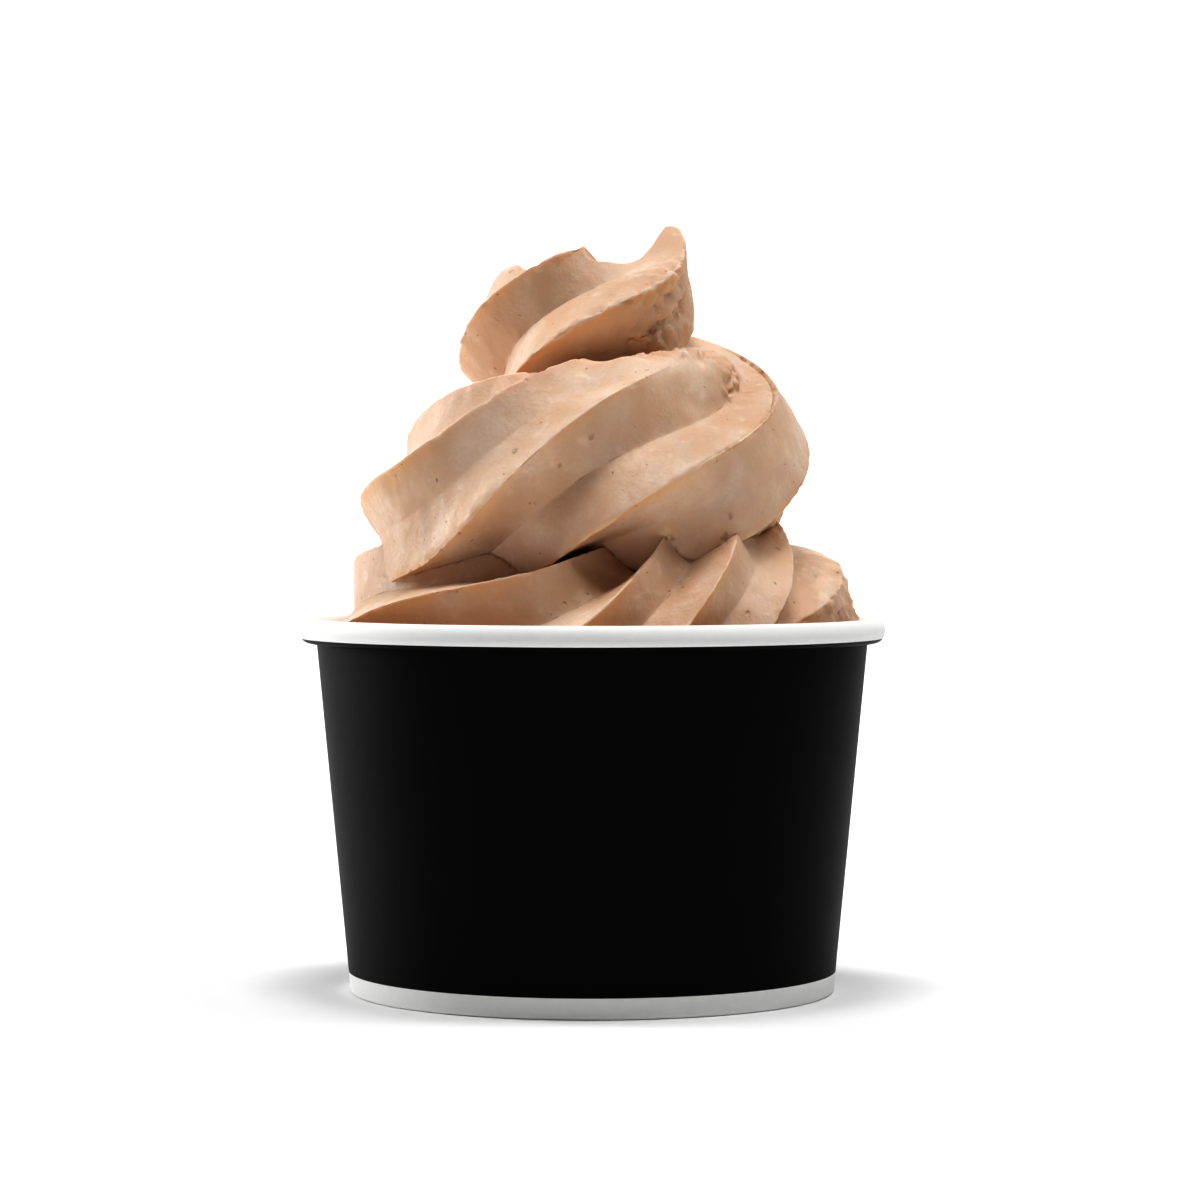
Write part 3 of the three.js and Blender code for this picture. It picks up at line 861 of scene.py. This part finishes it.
class Surface:
    """A node material being put together, with short calls for its nodes."""

    def __init__(self, name):
        """Starts from one plain shader."""
        self.material = bpy.data.materials.new(name)
        self.material.use_nodes = True
        self.nodes = self.material.node_tree.nodes
        self.links = self.material.node_tree.links
        self.shader = self.nodes["Principled BSDF"]

    def node(self, kind, settings=None, **inputs):
        """Adds a node with its settings, and feeds its inputs by their names."""
        made = self.nodes.new(kind)
        for key, value in (settings or {}).items():
            setattr(made, key, value)
        for key, value in inputs.items():
            self.feed(made.inputs[key.replace("_", " ")], value)
        return made

    def feed(self, socket, value):
        """Links another node's output to the socket, or puts a plain value in it."""
        if isinstance(value, bpy.types.NodeSocket):
            self.links.new(value, socket)
        else:
            socket.default_value = value

    def math(self, operation, a, b=0.0):
        """The named operation on a and b."""
        made = self.nodes.new("ShaderNodeMath")
        made.operation = operation
        self.feed(made.inputs[0], a)
        self.feed(made.inputs[1], b)
        return made.outputs[0]

    def ramp(self, value, start, end, low=0.0, high=1.0):
        """From low to high along 3t^2 - 2t^3, as the value goes from start to end."""
        made = self.nodes.new("ShaderNodeMapRange")
        made.interpolation_type = "SMOOTHSTEP"
        for key, number in zip(("Value", "From Min", "From Max", "To Min", "To Max"),
                               (value, start, end, low, high)):
            self.feed(made.inputs[key], number)
        return made.outputs["Result"]

    def blend(self, share, first, second):
        """first (1 - share) + second share."""
        made = self.nodes.new("ShaderNodeMix")
        made.data_type = "RGBA"
        self.feed(made.inputs["Factor"], share)
        self.feed(made.inputs[6], first)
        self.feed(made.inputs[7], second)
        return made.outputs[2]

    def set(self, **inputs):
        """Feeds the shader's inputs by their names."""
        for key, value in inputs.items():
            self.feed(self.shader.inputs[key.replace("_", " ")], value)


def soft_serve_material():
    """Pale brown cream: cloudy and finely grained colour that scatters light under the skin, a
    painted highlight along the crests and a painted warm glow on their undersides for light that
    shines through, painted shade as a thin broken line in the creases, small brown specks, and pits
    left by air, darkened with painted shade."""
    s = Surface("soft_serve_cream")
    place = s.node("ShaderNodeTexCoord").outputs["Object"]
    cloud = s.node("ShaderNodeTexNoise", Vector=place, Scale=CLOUD_SCALE, Detail=3.0).outputs["Fac"]
    patch = s.node("ShaderNodeTexNoise", Vector=place, Scale=PATCH_SCALE, Detail=3.0).outputs["Fac"]
    grain = s.node("ShaderNodeTexNoise", Vector=place, Scale=GRAIN_SCALE, Detail=2.0).outputs["Fac"]
    colour = s.blend(s.ramp(cloud, *CLOUD_SPAN), CREAM_DEEP, CREAM_PALE)
    colour = s.blend(s.ramp(patch, *MILK_SPAN, 0.0, PATCH_SHARE), colour, CREAM_MILK)
    colour = s.blend(s.ramp(patch, *DEEP_SPAN, 0.0, PATCH_SHARE), colour, CREAM_DEEP)
    colour = s.blend(s.ramp(grain, *GRAIN_SPAN, 0.0, GRAIN_SHARE), colour, CREAM_DEEP)
    crest, fold, glow = (
        s.node("ShaderNodeAttribute", {"attribute_name": name}).outputs["Fac"]
        for name in ("crest", "fold", "glow")
    )
    # Painted glow: warm colour on the undersides of the crests, in place of light shining through
    # them.
    colour = s.blend(s.math("MULTIPLY", glow, PAINTED_GLOW_SHARE), colour, CREST_PAINTED_GLOW)
    # Painted highlight: paler colour along the crests.
    colour = s.blend(s.math("MULTIPLY", crest, CREST_HIGHLIGHT_SHARE), colour, CREAM_MILK)
    # Painted shade: a thin dark line in the bottoms of the grooves, broken up by the patches.
    broken_shade = s.math("ADD", fold, s.ramp(patch, *CREASE_SHADE_BREAKS))
    colour = s.blend(s.ramp(broken_shade, *CREASE_SHADE_SPAN, 0.0, CREASE_SHADE_SHARE), colour, CREASE_PAINTED_SHADE)
    wander = s.node("ShaderNodeTexNoise", Vector=place, Scale=WANDER_SCALE, Detail=1.0)
    bent = s.node("ShaderNodeVectorMath", {"operation": "MULTIPLY_ADD"})
    s.feed(bent.inputs[0], wander.outputs["Color"])
    bent.inputs[1].default_value = (WANDER, WANDER, WANDER)
    s.feed(bent.inputs[2], place)
    dots = s.node("ShaderNodeTexVoronoi", Vector=bent.outputs[0], Scale=SPECK_SCALE)
    chosen = s.node("ShaderNodeSeparateColor", Color=dots.outputs["Color"])
    dot = s.math("MULTIPLY", s.ramp(dots.outputs["Distance"], *SPECK_SPAN),
                 s.math("GREATER_THAN", chosen.outputs[0], SPECK_FREE))
    colour = s.blend(s.math("MULTIPLY", dot, SPECK_SHARE), colour, SPECK)
    cells = s.node("ShaderNodeTexVoronoi", Vector=bent.outputs[0], Scale=PIT_SCALE)
    picked = s.node("ShaderNodeSeparateColor", Color=cells.outputs["Color"])
    pit = s.math("MULTIPLY", s.ramp(cells.outputs["Distance"], *PIT_SPAN),
                 s.math("GREATER_THAN", picked.outputs[1], PIT_FREE))
    # Pits: their bump is relief, while their darker colour is painted shade.
    colour = s.blend(s.math("MULTIPLY", pit, PIT_SHADE_SHARE), colour, PIT_PAINTED_SHADE)
    relief = s.math("ADD", s.math("MULTIPLY", patch, PATCH_RELIEF),
                    s.math("MULTIPLY", grain, GRAIN_RELIEF))
    relief = s.math("SUBTRACT", relief, s.math("MULTIPLY", pit, PIT_RELIEF))
    bump = s.node("ShaderNodeBump", Strength=RELIEF_STRENGTH, Distance=RELIEF_HEIGHT,
                  Height=relief)
    s.set(Base_Color=colour, Roughness=s.ramp(grain, *GRAIN_ROUGHNESS),
          Normal=bump.outputs["Normal"], Subsurface_Weight=SCATTER_SHARE,
          Subsurface_Scale=SCATTER_DEPTH, IOR=CREAM_IOR)
    s.shader.inputs["Subsurface Radius"].default_value = SCATTER_COLOURS
    return s.material


def coated_paper(name, printed):
    """White coated board with a faint fibre grain. Where it is printed, the outer
    face is black between two levels, measured from the wall's middle line."""
    s = Surface(name)
    place = s.node("ShaderNodeTexCoord").outputs["Object"]
    fibre = s.node("ShaderNodeTexNoise", Vector=place, Scale=FIBRE_SCALE, Detail=3.0)
    wave = s.node("ShaderNodeTexNoise", Vector=place, Scale=WAVE_SCALE, Detail=1.0)
    colour = s.blend(fibre.outputs["Fac"], *PAPER_TONES)
    if printed:
        axes = s.node("ShaderNodeSeparateXYZ", Vector=place)
        x, y, z = (axes.outputs[i] for i in range(3))
        square = s.math("ADD", s.math("MULTIPLY", x, x), s.math("MULTIPLY", y, y))
        radius = s.math("SQRT", square)
        middle = s.math("MULTIPLY_ADD", z, LEAN)
        middle.node.inputs[2].default_value = (FOOT_RADIUS - PAPER / 2) * MM
        outer = s.math("GREATER_THAN", radius, middle)
        above = s.ramp(z, (PRINT_FOOT - PRINT_BLUR) * MM, (PRINT_FOOT + PRINT_BLUR) * MM)
        below = s.math("LESS_THAN", z, PRINT_TOP * MM)
        ink = s.math("MULTIPLY", outer, s.math("MULTIPLY", above, below))
        black = s.blend(wave.outputs["Fac"], *PRINT_TONES)
        colour = s.blend(ink, colour, black)
    bump = s.node("ShaderNodeBump", Strength=PAPER_RELIEF, Distance=PAPER_RELIEF_HEIGHT,
                  Height=s.math("ADD", fibre.outputs["Fac"], wave.outputs["Fac"]))
    s.set(Base_Color=colour, Roughness=PAPER_ROUGHNESS, Normal=bump.outputs["Normal"],
          IOR=PAPER_IOR)
    shine = PRINT_SHINE if printed else PAPER_SHINE
    s.shader.inputs["Specular IOR Level"].default_value = shine
    return s.material


def floor_material():
    """Plain pale matt floor with the faintest mottling."""
    s = Surface("studio_floor")
    place = s.node("ShaderNodeTexCoord").outputs["Object"]
    soft = s.node("ShaderNodeTexNoise", Vector=place, Scale=FLOOR_SCALE, Detail=2.0)
    colour = s.blend(soft.outputs["Fac"], *FLOOR_TONES)
    s.set(Base_Color=colour, Roughness=FLOOR_ROUGHNESS)
    return s.material


# ---- The studio ------------------------------------------------------------

EYE_DISTANCE = 675            # from the cup's axis to the camera
EYE_HEIGHT = 83
FRAME_PIXELS = 1200
FOCAL_PIXELS = 3948
HORIZON_PIXEL = 505           # row of the eye's level in the frame
AXIS_PIXEL = 592.2            # column of the cup's axis in the frame
SWIRL_MIDDLE = 75             # level that the soft boxes face

# Soft boxes: bearing and lift in degrees, and strength. Distance and size in metres.
SOFT_BOXES = {
    "overhead": (265, 82, 1.36),
    "right_box": (5, 60, 0.85),
    "left_box": (152, 12, 1.00),
    "left_high": (165, 45, 0.45),
}
BOX_DISTANCE = 2.4
BOX_SIZE = 0.9
DIM_LIGHT = 0.02              # what the surroundings give
WHITE_SEEN = 0.9              # and how bright they look to the camera

# The backdrop's own box, in metres, watts and degrees.
BACKDROP_BOX_PLACE = (0, 1.1, 1.4)
BACKDROP_BOX_SIZE = 1.2
BACKDROP_BOX_POWER = 8.0
BACKDROP_BOX_TILT = 62

# Floor and backdrop, in metres.
FLOOR_FRONT = -2.5
FLOOR_BACK = 1.6              # where the floor starts to turn up
FLOOR_BEND = 0.8              # radius of the bend
FLOOR_BEND_STEPS = 24
BACKDROP_TOP = 3.0
FLOOR_HALF_WIDE = 3.0


def place_camera():
    """On -Y at eye height, turned by the angles that put the horizon and the cup's
    axis at their rows and columns of the frame."""
    lens = bpy.data.cameras.new("photo_view")
    lens.sensor_fit = "HORIZONTAL"
    lens.angle = 2 * math.atan(FRAME_PIXELS / 2 / FOCAL_PIXELS)
    lens.clip_start = 0.01
    camera = bpy.data.objects.new("photo_view", lens)
    bpy.context.scene.collection.objects.link(camera)
    camera.location = (0, -EYE_DISTANCE * MM, EYE_HEIGHT * MM)
    pitch = math.atan((FRAME_PIXELS / 2 - HORIZON_PIXEL) / FOCAL_PIXELS)
    yaw = math.atan((FRAME_PIXELS / 2 - AXIS_PIXEL) / FOCAL_PIXELS)
    camera.rotation_euler = (math.pi / 2 - pitch, 0, -yaw)
    bpy.context.scene.camera = camera


def backdrop_light():
    """A soft box behind the cup, out of sight above it, that faces the backdrop and
    brings it out white."""
    lamp = bpy.data.lights.new("backdrop_light", "AREA")
    lamp.size = BACKDROP_BOX_SIZE
    lamp.energy = BACKDROP_BOX_POWER
    light = bpy.data.objects.new("backdrop_light", lamp)
    bpy.context.scene.collection.objects.link(light)
    light.location = BACKDROP_BOX_PLACE
    light.rotation_euler = (math.radians(BACKDROP_BOX_TILT), 0, 0)


def soft_box(name, bearing, lift, strength):
    """A square area light that faces the swirl from a bearing and a lift above the
    level. Strength is the light that reaches the swirl, power / (pi distance^2)."""
    lamp = bpy.data.lights.new(name, "AREA")
    lamp.size = BOX_SIZE
    lamp.energy = strength * math.pi * BOX_DISTANCE ** 2
    light = bpy.data.objects.new(name, lamp)
    bpy.context.scene.collection.objects.link(light)
    level = math.cos(math.radians(lift))
    away = Vector((level * math.cos(math.radians(bearing)),
                   level * math.sin(math.radians(bearing)), math.sin(math.radians(lift))))
    light.location = Vector((0, 0, SWIRL_MIDDLE * MM)) + away * BOX_DISTANCE
    light.rotation_euler = (-away).to_track_quat("-Z", "Y").to_euler()


def make_floor():
    """A floor that turns up into a backdrop far behind: a flat run, a quarter of a
    circle and a flat run again, the same all the way across."""
    angle = np.linspace(0, np.pi / 2, FLOOR_BEND_STEPS)
    wall = FLOOR_BACK + FLOOR_BEND
    y = np.concatenate([[FLOOR_FRONT], FLOOR_BACK + FLOOR_BEND * np.sin(angle), [wall]])
    z = np.concatenate([[0], FLOOR_BEND - FLOOR_BEND * np.cos(angle), [BACKDROP_TOP]])
    x = np.array([-FLOOR_HALF_WIDE, FLOOR_HALF_WIDE])
    points = np.stack([
        np.repeat(x[None, :], len(y), 0), np.repeat(y[:, None], 2, 1), np.repeat(z[:, None], 2, 1),
    ], -1).reshape(-1, 3) / MM
    i = np.arange(len(y) - 1) * 2
    quads = np.stack([i, i + 1, i + 3, i + 2], -1)
    floor = piece_from("floor", points, quads)
    floor.data.materials.append(floor_material())


def light_studio():
    """Soft boxes overhead and high on the right, a low one and a weaker high one on
    the left, one for the backdrop, and a contrasty film curve. The surroundings look
    white but give only a dim light, so that the swirl's hollows stay deep."""
    world = bpy.data.worlds.new("studio")
    bpy.context.scene.world = world
    world.use_nodes = True
    sky = world.node_tree.nodes["Background"]
    sky.inputs["Color"].default_value = (1, 1, 1, 1)
    rays = world.node_tree.nodes.new("ShaderNodeLightPath")
    seen = world.node_tree.nodes.new("ShaderNodeMapRange")
    seen.inputs["To Min"].default_value = DIM_LIGHT
    seen.inputs["To Max"].default_value = WHITE_SEEN
    world.node_tree.links.new(rays.outputs["Is Camera Ray"], seen.inputs["Value"])
    world.node_tree.links.new(seen.outputs["Result"], sky.inputs["Strength"])
    for name, (bearing, lift, strength) in SOFT_BOXES.items():
        soft_box(name, bearing, lift, strength)
    backdrop_light()
    view = bpy.context.scene.view_settings
    view.view_transform = "Standard"
    view.look = "Very High Contrast"


# ---- Putting it together ---------------------------------------------------

def dress(piece, node, material):
    """The piece stands for a CAD node, rides with the cup and takes its finish."""
    piece.data.materials.clear()
    piece.data.materials.append(material)
    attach(piece, "root")
    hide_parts(node)


place_camera()
light_studio()
make_floor()
dress(make_swirl(), "soft_serve", soft_serve_material())
dress(turned_wall(), "cup_wall", coated_paper("printed_paper", True))
dress(turned_base(), "cup_base", coated_paper("white_paper", False))
